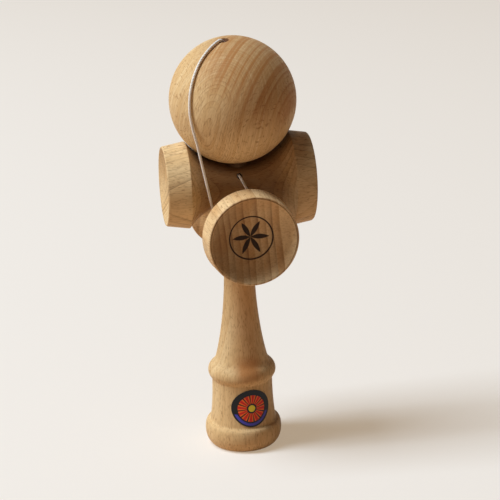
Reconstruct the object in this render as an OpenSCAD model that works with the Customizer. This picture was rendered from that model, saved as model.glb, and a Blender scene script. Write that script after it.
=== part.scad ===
// Five-cup kendama in turned beech, standing on its foot with the ball on the spike.
// +Z is up, the front cup faces -Y, and the origin is the centre of the foot.
// Millimetres.

/* [Handle] */
// Radius of the flat ring that the handle stands on
foot_r = 15.4; // [15:0.1:17]
// Largest radius of the foot
flange_r = 18.6; // [17.8:0.1:21]
// Height at which the foot is widest
flange_z = 7; // [5:0.1:8]
// Height of the top edge of the foot
flange_h = 11.6; // [10.5:0.1:12.5]
// Radius of the body just above the foot
body_r = 15.9; // [15:0.1:16.5]
// Radius of the body just under the bead
body_top_r = 14.6; // [13.5:0.1:15]
// Height at which the body starts above its cove
body_z = 12.9; // [12.4:0.1:14]
// Height at which the turned bead starts
bead_z = 33.4; // [32:0.1:38]
// Height of the turned bead
bead_h = 8.4; // [7:0.1:10]
// How far the turned bead stands out from the body
bead_out = 1.8; // [1:0.1:3]
// Radius of the stem above the bead
stem_base_r = 11.6; // [10:0.1:13]
// Radius of the stem at its top
stem_r = 7.4; // [6.8:0.1:8]
// Height at which the stem's curve runs out into the straight taper
stem_z = 84; // [76:1:90]
// Radius of the tapered shaft at the top of the upper cross-piece
shaft_top_r = 5.3; // [4.6:0.1:5.4]
// Height of the spike above the upper cross-piece's axis
spike_h = 45.8; // [40:0.1:47]
// Radius of the rounded tip of the spike
tip_r = 2.2; // [1.5:0.1:3]
// Radius of the mouth of the cup under the foot
foot_cup_r = 13.6; // [12:0.1:14]
// Radius of the hollow of the cup under the foot
foot_dish_r = 17; // [15:0.1:20]

/* [Cross-pieces] */
// Height of the lower cross-piece's axis
lower_z = 112.5; // [105:0.1:120]
// Radius of both waists
waist_r = 9.8; // [9:0.1:11]
// Half of the straight part of the upper waist
upper_waist_half = 2; // [0.5:0.1:8]
// Half of the straight part of the lower waist
lower_waist_half = 9; // [8:0.1:10]
// Gap between the two waists where they cross
stack_gap = 0.1; // [0.1:0.1:1]
// Half length of the upper cross-piece
upper_half = 34.4; // [32:0.1:37]
// Radius of the small cup's mouth, on the left
left_mouth_r = 18.5; // [17:0.1:19]
// Radius of the small cup's back edge
left_back_r = 20.3; // [19:0.1:21]
// Distance of the small cup's back edge from the middle
left_back_u = 23.3; // [22:0.1:24]
// Radius of the big cup's mouth, on the right
right_mouth_r = 20.8; // [18:0.1:21.5]
// Radius of the big cup's back edge
right_back_r = 22.4; // [20:0.1:23]
// Distance of the big cup's back edge from the middle
right_back_u = 24.4; // [23:0.1:25]
// Half length of the lower cross-piece
lower_half = 32.3; // [31:0.1:35]
// Turn of the lower cross-piece around the handle, front cup to the right, in degrees
lower_turn = 4; // [0:0.1:6]
// Radius of the front cup's mouth
front_mouth_r = 21.05; // [19:0.05:21.5]
// Radius of the front cup's back edge
front_back_r = 21.85; // [20.5:0.05:22.5]
// Distance of the front cup's back edge from the middle
front_back_u = 20.9; // [20:0.1:22]
// Radius of the rear cup's mouth
rear_mouth_r = 18; // [17:0.1:19]
// Radius of the rear cup's back edge
rear_back_r = 19.1; // [18.5:0.1:20.5]
// Distance of the rear cup's back edge from the middle
rear_back_u = 21.6; // [20.5:0.1:22.5]
// Radius of the rounded back edges
lip_r = 0.6; // [0.3:0.1:1]
// How much larger the radius of the cups' hollows is than the ball's
cup_play = 1; // [0.5:0.1:3]
// Width of the flat rim around each cup's hollow
rim_w = 0.8; // [0.5:0.1:2]
// Play between the handle's taper and the bores
taper_play = 0.1; // [0.05:0.05:0.3]

/* [Ball] */
// Radius of the ball
tama_r = 29.4; // [28:0.1:30.5]
// Play between the ball and the back edges under it, while its hole leans on the spike
seat_play = 0.65; // [0.5:0.05:1.2]
// Least play between the ball and the hollow flares under it
flare_play = 0.25; // [0.2:0.05:0.6]
// Distance of the ball to the left of the place midway over those edges
ball_left = 0.5; // [0:0.05:0.6]
// Lean of the ball's hole to the left, in degrees
lean_left = 8.5; // [0:0.5:9]
// Lean of the ball's hole to the front, in degrees
lean_front = 8.8; // [0:0.5:9]
// Radius of the ball's hole
hole_r = 10.7; // [10:0.1:12]
// Depth of the hole from its mouth
hole_depth = 36.6; // [35.5:0.1:38]
// Width of the bevel around the hole's mouth
hole_bevel = 1.4; // [1:0.1:2]
// Radius of the string's hole through the top of the ball
string_hole_r = 1.3; // [1.2:0.1:1.8]
// Width of the countersink where the string comes out
countersink = 1.4; // [1.2:0.1:2]
// Radius of the pocket for the bead above the hole
pocket_r = 4.2; // [4:0.1:5]
// Depth of that pocket
pocket_h = 10; // [9.5:0.1:11]
// Radius of the bead inside the ball
stop_bead_r = 3.4; // [3:0.1:3.6]
// Play of the bead under the roof of its pocket
stop_bead_play = 0.3; // [0.2:0.1:0.6]
// Play between the string and the bead's bore
bead_bore_play = 0.15; // [0.1:0.05:0.3]

/* [String] */
// Diameter of the string
string_d = 1.3; // [0.8:0.1:1.6]
// Turns of the string around the front neck
turns = 3; // [1:1:4]
// Advance of the winding in one turn
winding_pitch = 1.8; // [1.7:0.05:2.2]
// Play between the winding and the neck
winding_play = 0.25; // [0.1:0.05:0.5]
// Radius of the string's hole through the upper waist and the shaft
cord_hole_r = 1.3; // [1.1:0.1:1.5]
// Height of that hole above the upper cross-piece's axis
cord_hole_rise = 4.8; // [4:0.1:5]
// Radius of the knots
knot_r = 1.7; // [1.5:0.1:1.9]
// Play around the end knot in its pocket
knot_play = 0.3; // [0.2:0.1:0.4]
// Depth of the end knot below the shaft's surface
knot_sink = 0.8; // [0.5:0.1:1]

/* [Sticker] */
// Diameter of the round sticker
sticker_d = 18.8; // [12:0.1:20]
// Height of the sticker's centre
sticker_z = 22.4; // [20:0.1:26]
// Turn of the sticker from the front towards the right, in degrees
sticker_turn = 7; // [-20:1:20]
// Thickness of the sticker
sticker_t = 0.2; // [0.1:0.05:0.4]
// Thickness of the glue under the sticker
sticker_glue = 0.05; // [0.02:0.01:0.1]

/* [Hidden] */
$fn = 96;
eps = 0.01;
beech = "#c49a63";
beech_dark = "#b4854f";
cotton = "#e8dfcc";

upper_z = lower_z + 2 * waist_r + stack_gap;
upper_top_z = upper_z + waist_r;
tip_z = upper_z + spike_h;
cord_hole_z = upper_z + cord_hole_rise;

// Radius of the tapered shaft at height z, from the stem to the top of the upper waist
function shaft_r(z) = stem_r + (shaft_top_r - stem_r) * (z - stem_z) / (upper_top_z - stem_z);

// Point at t on the cubic curve with the control points a, b, c and d
function bend(a, b, c, d, t) =
    a * pow(1 - t, 3) + 3 * b * t * pow(1 - t, 2) + 3 * c * t * t * (1 - t) + d * pow(t, 3);
function curve(a, b, c, d, steps) = [for (i = [1 : steps]) bend(a, b, c, d, i / steps)];

// Points of an arc around centre c, from angle a0 to angle a1
function arc(c, r, a0, a1, steps) =
    [for (i = [0 : steps]) c + r * [cos(a0 + (a1 - a0) * i / steps), sin(a0 + (a1 - a0) * i / steps)]];

// Outline of the body between the foot and the turned bead, as [radius, height]
body_start = [body_r, body_z];
body_end = [body_top_r, bead_z];
body_curve = concat([body_start],
    curve(body_start, body_start + [-0.7, 4], body_end - [0, 9], body_end, 8));

// Outline of the whole handle, from the foot's ring to the tip
bead_mid = bead_z + bead_h / 2;
cove_end = [stem_base_r, bead_z + bead_h + 6.4];
handle_outline = concat(
    [[0, 0], [foot_r, 0]],
    curve([foot_r, 0], [foot_r + 1.1, 0.3], [flange_r, 3], [flange_r, flange_z], 6),
    curve([flange_r, flange_z], [flange_r, flange_h - 2], [flange_r - 0.5, flange_h - 0.3],
        [flange_r - 1.3, flange_h], 5),
    curve([flange_r - 1.3, flange_h], [body_r + 0.6, flange_h + 0.1], [body_r + 0.2, body_z - 0.7],
        [body_r + 0.05, body_z - 0.2], 4),
    body_curve,
    curve(body_end, body_end + [0.5, 1.1], [body_top_r + bead_out, bead_mid - 1.8],
        [body_top_r + bead_out, bead_mid], 7),
    curve([body_top_r + bead_out, bead_mid], [body_top_r + bead_out, bead_mid + 2.2],
        [body_top_r + 0.6, bead_z + bead_h - 0.8], [body_top_r - 0.4, bead_z + bead_h], 7),
    curve([body_top_r - 0.4, bead_z + bead_h], [body_top_r - 2, bead_z + bead_h + 1.3],
        cove_end + [0.7, -3], cove_end, 7),
    curve(cove_end, cove_end + [-1.2, 5.5], [stem_r + 0.6, stem_z - 18], [stem_r, stem_z], 12),
    [[shaft_top_r, upper_top_z]],
    curve([shaft_top_r, upper_top_z], [shaft_top_r - 0.4, upper_top_z + 9], [tip_r + 0.9, tip_z - 11],
        [tip_r, tip_z - tip_r * 0.8], 8),
    curve([tip_r, tip_z - tip_r * 0.8], [tip_r - 0.2, tip_z - 0.6], [tip_r * 0.6, tip_z], [0, tip_z], 6));

// Along the ball's own axis, measured from its centre
mouth_u = -sqrt(tama_r * tama_r - pow(hole_r + hole_bevel, 2));
hole_top_u = mouth_u + hole_depth;
roof_u = hole_top_u + pocket_h;
stop_bead_u = roof_u - stop_bead_play - stop_bead_r;
stop_bead_h = stop_bead_r * 1.7;
stop_bead_bore = string_d / 2 + bead_bore_play;
knot_h = 2.4 * string_d;

// Radius of a cross-piece at distance u from its middle: a waist that is straight up to w, then a hollow
// flare that runs into the rounded back edge. The edge is round from lip_in degrees to lip_out degrees.
lip_in = 65;
lip_out = 10;
function flare_end(back_u, back_r) = [back_u + lip_r * (1 - sin(lip_in)), back_r - lip_r * (1 - cos(lip_in))];
function flare_rad(w, e) = (pow(e[0] - w, 2) + pow(e[1] - waist_r, 2)) / (2 * (e[1] - waist_r));
function neck_r(u, w, e) = u <= w ? waist_r
    : waist_r + flare_rad(w, e) - sqrt(pow(flare_rad(w, e), 2) - pow(u - w, 2));

flare_steps = 12;

// Centre of the ball: both back edges of the upper cross-piece carry it, clear of the flares between them
left_lip = [-left_back_u - lip_r, upper_z + left_back_r - lip_r];
right_lip = [right_back_u + lip_r, upper_z + right_back_r - lip_r];
lip_span = right_lip - left_lip;
lip_reach = tama_r + seat_play + lip_r;
lip_lift = sqrt(lip_reach * lip_reach - lip_span * lip_span / 4);
seat = (left_lip + right_lip) / 2 + lip_lift * [-lip_span[1], lip_span[0]] / norm(lip_span);
ball_x = seat[0] - ball_left;
mouth_reach = hole_r + hole_bevel + mouth_u * sin(lean_left);
function over_flare(side, e) = max([for (i = [0 : flare_steps])
    let (u = mouth_reach + (e[0] - mouth_reach) * i / flare_steps)
    neck_r(u, upper_waist_half, e) + sqrt(max(0, tama_r * tama_r - pow(side * u - ball_x, 2)))]);
flare_top = max(over_flare(-1, flare_end(left_back_u, left_back_r)),
    over_flare(1, flare_end(right_back_u, right_back_r)));
ball_at = [ball_x, 0, max(seat[1], upper_z + flare_top + flare_play)];

// Half outline of a cup piece, from its middle out to its rim, as [radius, distance]
function cup_outline(half, w, mouth_r, back_u, back_r) =
    let (e = flare_end(back_u, back_r), k = [back_r - lip_r, back_u + lip_r])
    concat(
        [for (i = [0 : flare_steps - 1]) let (u = w + (e[0] - w) * i / flare_steps) [neck_r(u, w, e), u]],
        arc(k, lip_r, -lip_in, lip_out, 5),
        [[mouth_r + 0.15, half - 0.5], [mouth_r - 0.2, half]]);

// Spool with a cup at each end, turned around Z: the first cup up, the second cup down
module cup_piece(half, w, mouth_a, back_u_a, back_r_a, mouth_b, back_u_b, back_r_b) {
    up = cup_outline(half, w, mouth_a, back_u_a, back_r_a);
    down = [for (p = cup_outline(half, w, mouth_b, back_u_b, back_r_b)) [p[0], -p[1]]];
    n = len(down);
    difference() {
        rotate_extrude()
            polygon(concat([[0, -half]], [for (i = [n - 1 : -1 : 0]) down[i]], up, [[0, half]]));
        dish(half, mouth_a);
        rotate([180, 0, 0]) dish(half, mouth_b);
    }
}

// Hollow of a cup, a little wider than the ball that it catches
module dish(half, mouth_r) {
    dish_r = tama_r + cup_play;
    translate([0, 0, half + sqrt(dish_r * dish_r - pow(mouth_r - rim_w, 2))]) sphere(r = dish_r);
}

// Bore for the handle's taper through a cross-piece whose axis is at height z
module taper_bore(z) {
    reach = 1.5 * waist_r;
    translate([0, 0, z - reach])
        cylinder(h = 2 * reach, r1 = shaft_r(z - reach) + taper_play, r2 = shaft_r(z + reach) + taper_play);
}

// Puts a shape drawn around Z on the ball's own axis
module on_ball() {
    translate(ball_at) rotate([0, -lean_left, 0]) rotate([lean_front, 0, 0]) children();
}

// Barrel knot of three turns around Z, centred
module knot() {
    turn_h = knot_h / 3;
    rotate_extrude() {
        for (i = [-1 : 1]) translate([knot_r - turn_h / 2, i * turn_h]) circle(d = turn_h);
        translate([0, -knot_h / 2]) square([knot_r - turn_h / 2, knot_h]);
    }
}

// Tube along a list of points, with rings square to the path
function unit(v) = v / norm(v);
function tangent(p, i) = unit(p[min(i + 1, len(p) - 1)] - p[max(i - 1, 0)]);
function ring(p, i, side_axis, sides, r) =
    let (t = tangent(p, i), a = unit(cross(side_axis, t)), b = cross(t, a))
    [for (k = [0 : sides - 1]) p[i] + r * (a * cos(360 * k / sides) + b * sin(360 * k / sides))];
module tube(p, side_axis, sides, r) {
    n = len(p);
    points = [for (i = [0 : n - 1]) each ring(p, i, side_axis, sides, r)];
    skin = [for (i = [0 : n - 2], k = [0 : sides - 1])
        let (a = i * sides + k, b = i * sides + (k + 1) % sides)
        each [[a, a + sides, b], [b, a + sides, b + sides]]];
    start = [for (k = [1 : sides - 2]) [0, k, k + 1]];
    last = (n - 1) * sides;
    finish = [for (k = [1 : sides - 2]) [last, last + k + 1, last + k]];
    polyhedron(points, concat(skin, start, finish));
}

// The string's way: out of the ball's top, over its left side and down to the front neck
over_route = [[-4.5, -4, 196.8], [-4.7, -4.2, 198.2], [-5.2, -4.6, 199.5], [-6.2, -5.4, 200.3],
    [-7.5, -6.3, 200.3], [-9.7, -8, 199.3], [-11.8, -9.6, 198], [-13.8, -11.2, 196.4], [-15.7, -12.6, 194.6],
    [-17.4, -14, 192.6], [-18.9, -15.2, 190.3], [-20.2, -16.4, 187.9], [-21.3, -17.4, 185.4],
    [-22.2, -18.2, 182.6], [-22.9, -18.9, 179.8], [-23.3, -19.5, 176.9], [-23.5, -19.8, 174],
    [-23.5, -20, 171], [-23.2, -20.1, 168.1], [-22.7, -20, 165.1], [-22.1, -19.7, 162.2]];
free_points = [[-22.1, -19.7, 162.2], [-20.8, -19.3, 157], [-19.7, -18.8, 151.7], [-18.6, -18.4, 146.3],
    [-17.5, -17.9, 140.9], [-16.4, -17.5, 135.6], [-15.3, -17, 130.2], [-14.2, -16.6, 124.8],
    [-13.1, -16.2, 119.5]];

// The winding around the front neck: in at the left, out at the right towards the string's hole
wind_in_u = 14.8;
wind_in = 188;
wind_out = 26;
rings_per_turn = 24;
wind_sweep = 360 * turns + 360 + wind_out - wind_in;
wind_rings = round(rings_per_turn * wind_sweep / 360);
front_flare = flare_end(front_back_u, front_back_r);
wind_off = string_d / 2 + winding_play;
front_flare_r = flare_rad(lower_waist_half, front_flare);
function rest_r(u) = u <= lower_waist_half ? waist_r + wind_off
    : waist_r + front_flare_r - sqrt(pow(front_flare_r - wind_off, 2) - pow(u - lower_waist_half, 2));
function turned(p) = [p[0] * cos(lower_turn) - p[1] * sin(lower_turn),
    p[0] * sin(lower_turn) + p[1] * cos(lower_turn), p[2]];
function wind_at(a) = let (u = wind_in_u - winding_pitch * a / 360, r = rest_r(u))
    turned([r * cos(wind_in + a), -u, lower_z + r * sin(wind_in + a)]);
loops = [for (i = [0 : wind_rings]) wind_at(wind_sweep * i / wind_rings)];
lead_points = [[8.3, -8, 121.9], [6, -9.4, 126.2], [3.4, -10.8, 130.4], [1.4, -11, 134.5],
    [0.7, -10.6, 135.8], [0.2, -9.6, 136.7], [0, -8.3, 137], [0, -5.6, 137], [0, -2.8, 137]];
wind_start = loops[0] + string_d * unit(free_points[len(free_points) - 1] - loops[0]);
wind_end = loops[wind_rings] + string_d * unit(lead_points[0] - loops[wind_rings]);
wind_path = concat([wind_start], loops, [wind_end]);
least_gap = min([for (i = [0 : wind_rings], j = [i + rings_per_turn / 2 : wind_rings])
    if (j <= wind_rings) norm(loops[i] - loops[j])]) - string_d;
echo(least_gap_in_winding = least_gap);

// Where the end knot sits at the back of the shaft
shaft_at_hole = shaft_r(cord_hole_z);
knot_pocket_r = knot_r + knot_play;
knot_pocket_h = knot_h + knot_play + knot_sink;
end_knot_y = shaft_at_hole - knot_sink - knot_h / 2;

// Turned handle with a cup under its foot and a tapered shaft that ends in the spike
module ken() {
    dish_rise = sqrt(foot_dish_r * foot_dish_r - foot_cup_r * foot_cup_r);
    color(beech) difference() {
        rotate_extrude() polygon(handle_outline);
        translate([0, 0, -dish_rise]) sphere(r = foot_dish_r);
        translate([0, -flange_r, cord_hole_z]) rotate([-90, 0, 0])
            cylinder(r = cord_hole_r, h = flange_r + shaft_at_hole);
        translate([0, shaft_at_hole - knot_pocket_h, cord_hole_z]) rotate([-90, 0, 0])
            cylinder(r = knot_pocket_r, h = flange_r);
    }
}

// Lower cross-piece, with one cup to the front and one to the rear
module lower_sarado() {
    color(beech) difference() {
        translate([0, 0, lower_z]) rotate([90, 0, lower_turn])
            cup_piece(lower_half, lower_waist_half, front_mouth_r, front_back_u, front_back_r,
                rear_mouth_r, rear_back_u, rear_back_r);
        taper_bore(lower_z);
    }
}

// Upper cross-piece, with the big cup to the right, the small cup to the left and the string's hole
module upper_sarado() {
    color(beech_dark) difference() {
        translate([0, 0, upper_z]) rotate([0, 90, 0])
            cup_piece(upper_half, upper_waist_half, right_mouth_r, right_back_u, right_back_r,
                left_mouth_r, left_back_u, left_back_r);
        taper_bore(upper_z);
        translate([0, -2 * waist_r, cord_hole_z]) rotate([-90, 0, 0])
            cylinder(r = cord_hole_r, h = 2 * waist_r);
    }
}

// Round paper sticker bent around the handle's body
module sticker() {
    inner = [for (p = body_curve) p + [sticker_glue, 0]];
    outer = [for (i = [len(body_curve) - 1 : -1 : 0]) body_curve[i] + [sticker_glue + sticker_t, 0]];
    color("#20201f") intersection() {
        rotate_extrude() polygon(concat(inner, outer));
        translate([0, 0, sticker_z]) rotate([90, 0, sticker_turn]) cylinder(d = sticker_d, h = 2 * flange_r);
    }
}

// Ball with its bevelled hole, the pocket for the bead and the string's hole through the top
module tama() {
    color(beech) on_ball() difference() {
        sphere(r = tama_r);
        translate([0, 0, -tama_r]) cylinder(r = hole_r, h = tama_r + hole_top_u);
        translate([0, 0, mouth_u - eps]) cylinder(r1 = hole_r + hole_bevel, r2 = hole_r, h = hole_bevel);
        translate([0, 0, -tama_r]) cylinder(r = hole_r + hole_bevel, h = tama_r + mouth_u);
        translate([0, 0, hole_top_u - eps]) cylinder(r = pocket_r, h = pocket_h + eps);
        cylinder(r = string_hole_r, h = 2 * tama_r);
        translate([0, 0, tama_r - countersink])
            cylinder(r1 = string_hole_r, r2 = string_hole_r + 2 * countersink, h = 2 * countersink);
    }
}

// Wooden bead that holds the string inside the ball
module stop_bead() {
    color("#a0703c") on_ball() translate([0, 0, stop_bead_u]) intersection() {
        difference() {
            sphere(r = stop_bead_r);
            cylinder(r = stop_bead_bore, h = 4 * stop_bead_r, center = true);
        }
        cylinder(r = 2 * stop_bead_r, h = stop_bead_h, center = true);
    }
}

// Knot under the bead
module stop_knot() {
    color(cotton) on_ball() translate([0, 0, stop_bead_u - stop_bead_h / 2 - knot_h / 2]) knot();
}

// String from the knot up through the bead and the ball
module string_inside() {
    axis = [-cos(lean_front) * sin(lean_left), -sin(lean_front), cos(lean_front) * cos(lean_left)];
    from = ball_at + axis * (stop_bead_u - stop_bead_h / 2);
    steps = 4;
    color(cotton)
        tube([for (i = [0 : steps]) from + (over_route[0] - from) * i / steps], [0.7, -0.7, 0], 8, string_d / 2);
}

// String that lies over the left side of the ball
module string_over_ball() {
    color(cotton) tube(over_route, [0.7, -0.7, 0], 8, string_d / 2);
}

// Taut string between the ball and the winding
module string_free() {
    color(cotton) tube(concat(free_points, [wind_start]), [0.7, -0.7, 0], 8, string_d / 2);
}

// String wound around the neck behind the front cup
module string_winding() {
    color(cotton) tube(wind_path, [0, 1, 0], 6, string_d / 2);
}

// String from the winding up to the hole in the upper cross-piece, and on to the end knot
module string_lead() {
    knot_face = [0, end_knot_y - knot_h / 2, lead_points[len(lead_points) - 1][2]];
    color(cotton) tube(concat([wind_end], lead_points, [knot_face]), [0.85, 0, 0.5], 8, string_d / 2);
}

// Knot in the back of the shaft that holds the string
module end_knot() {
    color(cotton) translate([0, end_knot_y, cord_hole_z]) rotate([90, 0, 0]) knot();
}

ken();
lower_sarado();
upper_sarado();
sticker();
tama();
stop_bead();
stop_knot();
string_inside();
string_over_ball();
string_free();
string_winding();
string_lead();
end_knot();
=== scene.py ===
# A five-cup kendama in turned beech that stands on its foot with the ball on the spike.
import math

import bpy
import numpy as np
from mathutils import Matrix, Vector


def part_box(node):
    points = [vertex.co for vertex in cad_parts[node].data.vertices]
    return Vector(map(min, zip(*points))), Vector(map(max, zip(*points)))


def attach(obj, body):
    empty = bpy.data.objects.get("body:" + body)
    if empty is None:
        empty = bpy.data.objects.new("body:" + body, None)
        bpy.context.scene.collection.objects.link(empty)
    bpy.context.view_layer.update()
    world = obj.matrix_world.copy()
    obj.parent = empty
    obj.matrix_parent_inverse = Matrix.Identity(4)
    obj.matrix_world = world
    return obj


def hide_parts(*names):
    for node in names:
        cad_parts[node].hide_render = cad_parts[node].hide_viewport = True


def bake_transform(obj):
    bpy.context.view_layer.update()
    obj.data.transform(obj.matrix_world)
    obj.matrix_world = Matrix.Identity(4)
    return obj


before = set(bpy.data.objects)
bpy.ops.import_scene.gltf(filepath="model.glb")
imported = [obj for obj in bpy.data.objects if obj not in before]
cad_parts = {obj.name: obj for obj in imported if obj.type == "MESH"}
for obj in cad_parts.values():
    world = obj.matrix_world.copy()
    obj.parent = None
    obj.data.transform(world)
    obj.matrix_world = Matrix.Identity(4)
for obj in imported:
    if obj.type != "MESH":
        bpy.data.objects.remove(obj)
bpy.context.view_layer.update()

# The handle is turned from one billet of beech with its fibre upright, sanded and left bare. Its front is
# cut along the growth rings, so short dark rays show there as dashes. The middle of its grip and bead is
# a warmer brown, and shade is painted on the foot of the spike, under the ball.
mm = 0.001
grip_z, grip_x = (34, 41, 96, 112), (-8, -1, 3, 10)
bead_top = (43, 50)
spike_foot_shade = (139, 141, 146, 156)


class Line:
    """An output of a finish's nodes. Operators between lines and numbers add Math nodes."""

    def __init__(self, socket):
        self.socket = socket

    def node(self, kind, settings, sockets, out=0):
        """Any other node: its settings are set first, then the values or links of its sockets."""
        tree = self.socket.id_data
        made = tree.nodes.new("ShaderNode" + kind)
        for key, value in settings.items():
            setattr(made, key, value)
        for key, value in sockets.items():
            if isinstance(value, Line):
                tree.links.new(value.socket, made.inputs[key])
            else:
                made.inputs[key].default_value = value
        return Line(made.outputs[out])

    def math(self, operation, *values):
        return self.node("Math", {"operation": operation}, dict(enumerate(values)))

    def __add__(self, other):
        return self.math("ADD", self, other)

    def __sub__(self, other):
        return self.math("SUBTRACT", self, other)

    def __rsub__(self, other):
        return self.math("SUBTRACT", other, self)

    def __mul__(self, other):
        return self.math("MULTIPLY", self, other)

    def __truediv__(self, other):
        return self.math("DIVIDE", self, other)

    def __pow__(self, other):
        return self.math("POWER", self, other)

    def __abs__(self):
        return self.math("ABSOLUTE", self)

    __radd__ = __add__
    __rmul__ = __mul__

    def step(self, low, high):
        """0 below low, 1 above high, and a soft rise between them."""
        return self.node("MapRange", {"interpolation_type": "SMOOTHSTEP"}, {0: self, 1: low, 2: high})

    def band(self, low, full, past, high):
        """1 from full to past, 0 below low and above high, and soft between them."""
        return self.step(low, full) * (1 - self.step(past, high))

    def mix(self, a, b):
        """Colour a where this line is 0 and colour b where it is 1."""
        return self.node("Mix", {"data_type": "RGBA"}, {0: self, 6: a, 7: b}, 2)

    def dot(self, direction):
        """Part of this vector that lies along a direction."""
        return self.node("VectorMath", {"operation": "DOT_PRODUCT"}, {0: self, 1: tuple(direction)}, 1)

    def noise(self, x, y, z, detail=1.0):
        """Noise on three lines, each in units of its own grain."""
        place = self.node("CombineXYZ", {}, {0: x, 1: y, 2: z})
        return self.node("TexNoise", {}, {"Vector": place, "Scale": 1.0, "Detail": detail})


def finish(name):
    """A new material, the place on its piece and the direction that the surface faces there."""
    material = bpy.data.materials.new(name)
    material.use_nodes = True
    shader = material.node_tree.nodes["Principled BSDF"]
    start = Line(shader.outputs[0])
    place = start.node("TexCoord", {}, {}, 3)
    return material, place, Line(place.socket.node.outputs[1])


def colour(*screen):
    """A colour as a screen gives it, red, green and blue from 0 to 255, as light."""
    return tuple(((c / 255 + 0.055) / 1.055) ** 2.4 if c > 10 else c / 3294 for c in screen) + (1.0,)


def coat(material, place, height, depth, **sockets):
    """Links or sets the shader's sockets, with a bump of that depth in metres."""
    shader = material.node_tree.nodes["Principled BSDF"]
    sockets["Normal"] = place.node("Bump", {}, {"Height": height, "Distance": depth, "Strength": 1.0})
    for key, value in sockets.items():
        key = key.replace("_", " ")
        if isinstance(value, Line):
            material.node_tree.links.new(value.socket, shader.inputs[key])
        else:
            shader.inputs[key].default_value = value


def wood(name, fibre, outward, pith, reach, ring, unbroken, broad, pale, deep, late, rays, bow=0.0, mark=None):
    """Bare beech, cut at some reach from the pith of a log, in millimetres and screen colours.

    Rings of that width run around the pith, and bow in along the fibre. The dark line that ends a ring
    is unbroken for some length, and as broad as asked for on end grain."""
    fibre, outward, pith = Vector(fibre).normalized(), Vector(outward).normalized(), Vector(pith)
    across = fibre.cross(outward)
    material, place, faces = finish(name)
    along = place.dot(fibre / mm) - pith.dot(fibre)
    out = place.dot(outward / mm) - pith.dot(outward)
    side = place.dot(across / mm) - pith.dot(across)
    radius = (out * out + side * side) ** 0.5 - bow * along * along
    turn = place.math("ARCTAN2", side, out) * reach

    # Rings sway along the log, and years are not alike in width.
    sway = place.noise(turn / 30, radius / 50, along / 60)
    year = (radius + 3 * sway) / ring
    year = year + 1.2 * place.noise(year / 2.7, 0.0, 0.0)
    age, count = place.math("FRACT", year), place.math("FLOOR", year)
    end_grain = abs(faces.dot(fibre)).step(0.6, 1.0)
    wide = broad * end_grain
    thin_line, sharpness = 0.68 - 0.36 * broad + 0.5 * wide, 8 - 5.6 * wide
    late_wood = (0.12 + 0.24 * wide) * age + thin_line * age ** sharpness
    late_wood = late_wood * (1 - wide * age.step(0.8, 1.0))
    own = place.noise(count * 2.9, along / 90, turn / 90)
    strong = place.noise(count * 3.7, along / unbroken, turn / unbroken).step(0.35, 0.7)

    # Rays are short dashes along the fibre, between fine fibres and broad clouds.
    dash = place.noise(turn / 0.3, radius / 3, along / 2.2).step(0.58, 0.72)
    fine = place.noise(turn / 0.7, radius / 0.9, along / 16, 2.0)
    cloud = place.noise(turn / 12, radius / 12, along / 36, 2.0)
    tone = (0.5 * cloud + 0.5 * own).step(0.35, 0.65).mix(colour(*pale), colour(*deep))
    tone = (late_wood * (0.2 + 0.8 * strong)).mix(tone, colour(*late))
    tone = (fine.step(0.4, 0.8) * 0.3).mix(tone, colour(*rays))
    tone = (dash * (1 - 0.8 * end_grain) * 0.5).mix(tone, colour(*rays))
    tone = (end_grain * 0.1).mix(tone, colour(*rays))
    if mark:
        tone = mark(place, tone)
    coat(material, place, fine * 0.5 - dash - 0.4 * late_wood, 0.05 * mm, Base_Color=tone,
         Roughness=0.5 + 0.12 * dash + 0.1 * fine, Specular_IOR_Level=0.12)
    return material


def dress(node, material):
    """A solid of the frame that keeps its shape takes a finish."""
    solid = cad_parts[node]
    solid.data.materials.clear()
    solid.data.materials.append(material)


def grip_tone_and_spike_shade(place, tone):
    """A warmer middle of the grip and its bead, and painted shade on the foot of the spike, under the ball."""
    x, height = place.dot((1 / mm, 0, 0)), place.dot((0, 0, 1 / mm))
    grip = height.band(*grip_z) * x.band(*grip_x) * (0.8 - 0.52 * height.step(*bead_top))
    tone = grip.mix(tone, colour(190, 124, 66))
    # Painted shade on the foot of the spike, where the ball shades it.
    return (height.band(*spike_foot_shade) * 0.9).mix(tone, colour(76, 46, 24))


dress("ken", wood("beech_handle", fibre=(0, 0, 1), outward=(-0.1, -1, 0), pith=(8, 62, 0), reach=62,
                  ring=2.6, unbroken=20, broad=0.5, pale=(236, 206, 155), deep=(226, 191, 137),
                  late=(212, 170, 114), rays=(142, 94, 54), mark=grip_tone_and_spike_shade))

# The lower cross-piece is a spool, turned from beech with its fibre along its own length, so both cups
# show end grain. It is wedged on the handle's taper. A rosette of six petals, struck with a compass, is
# burnt into the front cup.
neck_z, neck_turn = 112.5, math.radians(4)
lower_axis = Vector((math.sin(neck_turn), -math.cos(neck_turn), 0))
lower_side = Vector((math.cos(neck_turn), math.sin(neck_turn), 0))
petal_r, ring_r, dish_r = 8.6, 10.2, 19.9
burnt, dish_shade_and_rim_brown = colour(36, 19, 10), colour(104, 70, 42)


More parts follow.
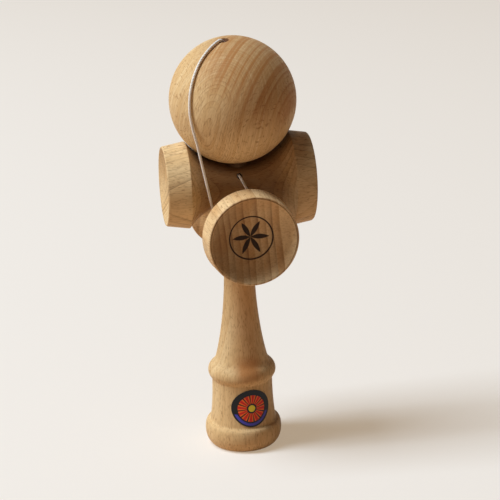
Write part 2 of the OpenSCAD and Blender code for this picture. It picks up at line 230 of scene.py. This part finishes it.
def rosette_and_dish_shade(place, tone):
    """Six petals between arcs of one radius, in a ring, painted shade on the dish's left, and a dark upper rim
    edge.
    """
    u, w = place.dot(lower_side / mm), place.dot((0, 0, 1 / mm)) - neck_z
    front = place.dot(lower_axis / mm).step(20, 21)
    reach = (u * u + w * w) ** 0.5
    sixth = place.math("FRACT", place.math("ARCTAN2", w, u) * (3 / math.pi) + 0.5)
    sixth = abs(sixth - 0.5) * (math.pi / 3)
    x = reach * place.math("COSINE", sixth) - petal_r / 2
    y = reach * place.math("SINE", sixth) + petal_r * math.sqrt(3) / 2
    petal = 1 - ((x * x + y * y) ** 0.5).step(petal_r - 0.2, petal_r + 0.2)
    halo = 1 - abs(reach - ring_r).step(0.2, 0.5)
    inside = 1 - reach.step(dish_r - 0.5, dish_r)
    edge = reach.band(dish_r, dish_r + 0.25, dish_r + 0.4, dish_r + 0.65) * w.step(-18, -4)
    # Painted shade on the left of the dish, the side turned away from the light.
    tone = (front * inside * (1 - u.step(-16, 8)) * 0.3).mix(tone, dish_shade_and_rim_brown)
    tone = (front * edge * 0.7).mix(tone, dish_shade_and_rim_brown)
    return (place.math("MAXIMUM", petal, halo) * front * 0.97).mix(tone, burnt)


dress("lower_sarado", wood("beech_lower", fibre=lower_axis, outward=(1, 0.06, 0.1), pith=(-150, 0, 100),
                           reach=150, ring=3.3, unbroken=50, broad=1.0, pale=(246, 219, 170),
                           deep=(218, 176, 122), late=(128, 80, 44), rays=(142, 94, 54), mark=rosette_and_dish_shade))

# The upper cross-piece is a second spool of beech with its fibre along its length. It lies across the
# lower one, on the same taper, and the string through its waist locks it. The ball rests in its hollow.
ball_at, ball_r = Vector((-0.74, 0, 171.4)), 29.4
waist_shade_x, big_cup_x, seat_shade_x = (15, 25), (22, 25), (-24, -18)


def axes(place):
    """A place's x, y and z, in millimetres."""
    return [place.dot([1 / mm if i == k else 0 for i in range(3)]) for k in range(3)]


def waist_shade_and_brown_cup(place, tone):
    """Painted shade in the hollow of the waist and on the seat under the ball, and a browner tone over the big
    cup.
    """
    x, y, z = axes(place)
    waist_shade, big_cup = 1 - abs(x).step(*waist_shade_x), x.step(*big_cup_x)
    # Painted shade in the hollow of the waist under the ball, and a browner tone over the big cup.
    tone = (0.55 * waist_shade + 0.12 * big_cup).mix(tone, colour(128, 78, 40))
    # Painted shade on the seat around the ball, where its shadow falls.
    x, y, z = x - ball_at.x, y - ball_at.y, z - ball_at.z
    gap = (x * x + y * y + z * z) ** 0.5 - ball_r
    seat_shade = (1 - gap.step(1, 7)) * x.step(*seat_shade_x)
    return (0.7 * seat_shade).mix(tone, colour(62, 35, 18))


dress("upper_sarado", wood("beech_upper", fibre=(1, 0, 0), outward=(0, -1, -0.15), pith=(0, 110, 148),
                           reach=110, ring=2.4, unbroken=20, broad=0.7, pale=(238, 209, 159),
                           deep=(228, 193, 138), late=(94, 52, 27), rays=(138, 88, 48), mark=waist_shade_and_brown_cup))

# The sticker is a round of glossy black paper, printed with a red and orange wheel, a yellow dot and a
# blue arc. It is stuck on the front of the handle's body and bent around it.
sticker_z, sticker_turn = 22.4, math.radians(7)
dot_r, hub_r, wheel_r, arc_in, arc_out = 1.6, 2.4, 6.6, 7.3, 8.5
spokes, blur = 12, 0.2
printed, place, _ = finish("printed_paper")
across = place.dot(Vector((math.cos(sticker_turn), math.sin(sticker_turn), 0)) / mm)
rise = place.dot((0, 0, 1 / mm)) - sticker_z
reach = (across * across + rise * rise) ** 0.5
spoke = place.math("FRACT", place.math("ARCTAN2", rise, across) * (spokes / (2 * math.pi)) + 0.25)
spoke = abs(spoke - 0.5)
wheel = reach.band(hub_r, hub_r + blur, wheel_r, wheel_r + blur)
arc = reach.band(arc_in, arc_in + blur, arc_out, arc_out + blur) * (-1 * rise).step(2.5, 3)
tone = (wheel * spoke.step(0.08, 0.1)).mix(colour(17, 16, 18), colour(252, 116, 40))
tone = (wheel * spoke.step(0.3, 0.32)).mix(tone, colour(226, 44, 36))
tone = (1 - reach.step(dot_r, dot_r + blur)).mix(tone, colour(255, 238, 70))
tone = arc.mix(tone, colour(78, 76, 186))
grit = place.noise(across / 0.3, rise / 0.3, reach / 0.3)
coat(printed, place, grit, 0.01 * mm, Base_Color=tone, Roughness=0.3 + 0.1 * grit,
     Specular_IOR_Level=0.25)
dress("sticker", printed)

# The ball is turned from a billet whose rings lie nearly flat to its front, lower left, where they show
# as ovals. It is bored for the spike, which it leans on, and for the string at its top.
ball_axis = Vector((-0.14607, -0.15299, 0.97737))
ball_side = ball_axis.orthogonal().normalized()
ball_fibre, ball_face = Vector((0.139, -0.374, 0.917)), Vector((-0.534, -0.808, -0.248))
ball_from_pith = 40
red_way = Vector((0.45, -0.54, 0.71))


def ball_marks(place, tone):
    """Redder stripes along the fibre to the upper right, and dark wood around the string's hole."""
    def from_centre(direction):
        return place.dot(direction / mm) - ball_at.dot(direction)

    across, along = from_centre(ball_fibre.cross(ball_face)), from_centre(ball_fibre)
    stripe = place.noise(across / 1.5, along / 70, 0.0, 2.0).step(0.35, 0.65)
    red = from_centre(red_way).step(6, 25) * (0.3 + 0.7 * stripe)
    tone = (red * 0.8).mix(tone, colour(174, 112, 54))
    a, b = from_centre(ball_side), from_centre(ball_axis.cross(ball_side))
    rim = 1 - ((a * a + b * b) ** 0.5).step(2.2, 3.0)
    return (rim * from_centre(ball_axis).step(24, 25)).mix(tone, colour(96, 58, 30))


dress("tama", wood("beech_ball", fibre=ball_fibre, outward=-ball_face,
                   pith=ball_at + ball_from_pith * ball_face, reach=25, ring=0.9, bow=0.008, unbroken=5,
                   broad=0.0, pale=(238, 209, 158), deep=(224, 188, 133), late=(152, 100, 56),
                   rays=(150, 100, 58), mark=ball_marks))

# The stop bead is a small turned bead of darker wood. It sits on the string in a pocket inside the ball,
# above a knot, so the string can't slip out.
dress("stop_bead", wood("bead_wood", fibre=ball_axis, outward=ball_side, pith=ball_at + Vector((40, 0, 0)),
                        reach=40, ring=1.5, unbroken=20, broad=0.5, pale=(160, 112, 66),
                        deep=(140, 94, 52), late=(120, 76, 40), rays=(90, 54, 28)))

# The string is 1.3 mm cotton of three plies. It comes out of the ball's top, lies over the ball's left
# side, is wound around the front neck and goes up into the hole in the upper waist, to a knot.
string_d = 1.3
ply_r = 0.5
ply_out = string_d / 2 - ply_r
twist, twist_steps, ply_sides = 4.2, 12, 7
over_ball = [(-4.5, -4, 196.8), (-4.7, -4.2, 198.2), (-5.2, -4.6, 199.5), (-6.2, -5.4, 200.3),
             (-7.5, -6.3, 200.3), (-9.7, -8, 199.3), (-11.8, -9.6, 198), (-13.8, -11.2, 196.4),
             (-15.7, -12.6, 194.6), (-17.4, -14, 192.6), (-18.9, -15.2, 190.3), (-20.2, -16.4, 187.9),
             (-21.3, -17.4, 185.4), (-22.2, -18.2, 182.6), (-22.9, -18.9, 179.8), (-23.3, -19.5, 176.9),
             (-23.5, -19.8, 174), (-23.5, -20, 171), (-23.2, -20.1, 168.1), (-22.7, -20, 165.1),
             (-22.1, -19.7, 162.2)]
free = [(-20.8, -19.3, 157), (-19.7, -18.8, 151.7), (-18.6, -18.4, 146.3), (-17.5, -17.9, 140.9),
        (-16.4, -17.5, 135.6), (-15.3, -17, 130.2), (-14.2, -16.6, 124.8), (-13.1, -16.2, 119.5)]
lead = [(8.3, -8, 121.9), (6, -9.4, 126.2), (3.4, -10.8, 130.4), (1.4, -11, 134.5), (0.7, -10.6, 135.8),
        (0.2, -9.6, 136.7), (0, -8.3, 137), (0, -5.6, 137), (0, -2.8, 137), (0, 1.56, 137)]
neck_r, neck_half, flare_r = 9.8, 9, 11.96
clear = string_d / 2 + 0.25
wind_in, wind_sweep, wind_u, wind_pitch = 188, 1278, 14.8, 1.8


def wound(angle):
    """Point of the winding after that many degrees, on the front neck and its flare."""
    u = wind_u - wind_pitch * angle / 360
    r = neck_r + clear
    if u > neck_half:
        r = neck_r + flare_r - math.sqrt((flare_r - clear) ** 2 - (u - neck_half) ** 2)
    a = math.radians(wind_in + angle)
    x, y = r * math.cos(a), -u
    return (x * math.cos(neck_turn) - y * math.sin(neck_turn),
            x * math.sin(neck_turn) + y * math.cos(neck_turn), neck_z + r * math.sin(a))


winding = [wound(angle) for angle in np.linspace(0, wind_sweep, 86)]


def run_along(path):
    """Length of a path up to each of its points."""
    return np.concatenate([[0], np.cumsum(np.linalg.norm(np.diff(path, axis=0), axis=1))])


def smooth(points, step):
    """Evenly spaced points on one smooth curve through these."""
    p = np.array(points, float)
    p = np.vstack([2 * p[0] - p[1], p, 2 * p[-1] - p[-2]])
    t = np.linspace(0, 1, 12, endpoint=False)[:, None]
    line = [0.5 * (2 * b + (c - a) * t + (2 * a - 5 * b + 4 * c - d) * t ** 2
                   + (3 * b - a - 3 * c + d) * t ** 3)
            for a, b, c, d in zip(p, p[1:], p[2:], p[3:])]
    line = np.vstack(line + [p[-2:-1]])
    run = run_along(line)
    even = np.linspace(0, run[-1], max(4, round(run[-1] / step) + 1))
    return np.column_stack([np.interp(even, run, line[:, k]) for k in range(3)])


def plied(name, points):
    """Three plies twisted around a path, as one mesh."""
    path = smooth(points, twist / twist_steps)
    run = run_along(path)
    way = np.gradient(path, axis=0)
    way /= np.linalg.norm(way, axis=1)[:, None]
    side = np.cross(way[0], (0.3, 0.8, 0.5))
    frames = []
    for forward in way:
        side = side - forward * (side @ forward)
        side = side / np.linalg.norm(side)
        frames.append((side, np.cross(forward, side)))
    verts, faces = [], []
    around = np.arange(ply_sides) * 2 * math.pi / ply_sides
    last = (len(path) - 1) * ply_sides
    for ply in range(3):
        first = len(verts)
        for i, (a, b) in enumerate(frames):
            lay = 2 * math.pi * (run[i] / twist + ply / 3)
            heart = path[i] + ply_out * (a * math.cos(lay) + b * math.sin(lay))
            verts += [tuple(mm * (heart + ply_r * (a * math.cos(w) + b * math.sin(w)))) for w in around]
        for row in range(first, first + last, ply_sides):
            for k in range(ply_sides):
                j = (k + 1) % ply_sides
                faces.append((row + k, row + j, row + ply_sides + j, row + ply_sides + k))
        faces.append(tuple(first + k for k in reversed(range(ply_sides))))
        faces.append(tuple(first + last + k for k in range(ply_sides)))
    mesh = bpy.data.meshes.new(name)
    mesh.from_pydata(verts, [], faces)
    mesh.polygons.foreach_set("use_smooth", [True] * len(mesh.polygons))
    mesh.materials.append(cotton)
    piece = bpy.data.objects.new(name, mesh)
    bpy.context.collection.objects.link(piece)
    return piece, path, run[-1]


cotton, place, _ = finish("twisted_cotton")
x, y, z = axes(place)
fluff = place.noise(x / 0.25, y / 0.25, z / 0.25, 2.0)
soil = place.noise(x / 9, y / 9, z / 9).step(0.35, 0.7)
coat(cotton, place, fluff, 0.03 * mm, Base_Color=soil.mix(colour(255, 252, 243), colour(250, 243, 230)),
     Roughness=0.85, Sheen_Weight=1.0, Sheen_Roughness=0.6)

string, string_path, string_run = plied("string", over_ball + free + winding + lead)
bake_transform(string)
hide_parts("string_over_ball", "string_free", "string_winding", "string_lead")

# Both ends of the string are tied off: a barrel knot of three turns under the bead inside the ball, and
# another in the back of the shaft. A short stretch runs from the ball's knot up to its top.
knot_r, knot_h, knot_turns = 1.7, 2.4 * string_d, 3


def barrel_knot(name, node, axis):
    """Turns of the string around an axis through the middle of the node that they stand for."""
    low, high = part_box(node)
    heart = (low + high) / 2 / mm
    a = axis.orthogonal().normalized()
    b = axis.cross(a)
    coil_r, rise = knot_r - string_d / 2, (knot_h - string_d) / (2 * math.pi * knot_turns)
    wrap = np.linspace(-knot_turns * math.pi, knot_turns * math.pi, 61)
    points = [tuple(heart + coil_r * (a * math.cos(t) + b * math.sin(t)) + axis * (rise * t)) for t in wrap]
    knot, _, _ = plied(name, points)
    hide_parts(node)
    return knot


ball_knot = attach(barrel_knot("ball_knot", "stop_knot", ball_axis), "tether")
shaft_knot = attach(barrel_knot("shaft_knot", "end_knot", Vector((0, 1, 0))), "ken")
low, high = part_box("stop_knot")
tied = (low + high) / 2 / mm - ball_axis * knot_h / 2
drawn, _, _ = plied("string_in_ball", [tied.lerp(Vector(over_ball[0]), t / 6) for t in range(7)])
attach(drawn, "tether")
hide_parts("string_inside")

# The toy stands on a sheet of pale paper in a room as pale. One large window, high on the left, lights
# it. Seen straight or in gloss, sheet and walls are pale; the light that they throw back is warm and dim.
sheet_half, window_far = 5.0, 4


def directly(start):
    """1 for a ray from the camera, straight or by way of gloss or glass."""
    path = start.node("LightPath", {}, {}).socket.node.outputs
    camera_ray, gloss, glass = (Line(path[f"Is {kind} Ray"]) for kind in ("Camera", "Glossy", "Transmission"))
    return start.math("MAXIMUM", camera_ray, start.math("MAXIMUM", gloss, glass))


floor_mesh = bpy.data.meshes.new("floor")
corners = [(sheet_half * x, sheet_half * y, 0) for x, y in ((-1, -1), (1, -1), (1, 1), (-1, 1))]
floor_mesh.from_pydata(corners, [], [(0, 1, 2, 3)])
floor = bpy.data.objects.new("floor", floor_mesh)
bpy.context.collection.objects.link(floor)
paper = bpy.data.materials.new("pale_paper")
paper.use_nodes = True
tree = paper.node_tree
shader = tree.nodes["Principled BSDF"]
shader.inputs["Base Color"].default_value = (0.66, 0.445, 0.3, 1.0)
shader.inputs["Roughness"].default_value = 0.9
sheet = Line(shader.outputs[0])
shade = sheet.node("BsdfDiffuse", {}, {"Color": (0.54, 0.57, 0.59, 1.0)})
glow = sheet.node("Emission", {}, {"Color": (0.4, 0.32, 0.23, 1.0), "Strength": 1.0})
bright = sheet.node("AddShader", {}, {0: shade, 1: glow})
shown = sheet.node("MixShader", {}, {0: directly(sheet), 1: sheet, 2: bright})
tree.links.new(shown.socket, tree.nodes["Material Output"].inputs["Surface"])
floor_mesh.materials.append(paper)

window = bpy.data.lights.new("window", "AREA")
window.shape = "RECTANGLE"
window.size, window.size_y = 1.1, 3.7
window.energy = 184
window.color = (0.97, 1.03, 1.09)
window_way = Vector((-0.58, 0.01, 0.81)).normalized()
lamp = bpy.data.objects.new("window", window)
lamp.location = window_far * window_way
lamp.rotation_euler = window_way.to_track_quat("Z", "Y").to_euler()
bpy.context.collection.objects.link(lamp)
world = bpy.data.worlds.new("room")
world.use_nodes = True
walls = world.node_tree.nodes["Background"]
tone = directly(Line(walls.outputs[0])).mix((0.042, 0.024, 0.017, 1.0), (0.83, 0.79, 0.73, 1.0))
world.node_tree.links.new(tone.socket, walls.inputs["Color"])
bpy.context.scene.world = world

# The camera stands a little to the left of the front cup and above it, three quarters of a metre away,
# with a long lens, and is tilted a little to one side.
azimuth, elevation, roll = (math.radians(a) for a in (-9.65, 18.66, -1.5))
aim = Vector((0, 0, 0.0972))
distance, to_right, to_top = 0.76019, 0.00543, 0.00096
back = Vector((math.sin(azimuth) * math.cos(elevation),
               -math.cos(azimuth) * math.cos(elevation), math.sin(elevation)))
level = Vector((math.cos(azimuth), math.sin(azimuth), 0))
upright = back.cross(level)
right = math.cos(roll) * level + math.sin(roll) * upright
up = math.cos(roll) * upright - math.sin(roll) * level
stand = aim + distance * back + to_right * right + to_top * up
view = bpy.data.cameras.new("view")
view.lens = 115.2
view.sensor_width = 36
view.clip_start = 0.05
camera = bpy.data.objects.new("view", view)
camera.matrix_world = Matrix.Translation(stand) @ Matrix((right, up, back)).transposed().to_4x4()
bpy.context.collection.objects.link(camera)
bpy.context.scene.camera = camera
bpy.context.scene.view_settings.view_transform = "Standard"
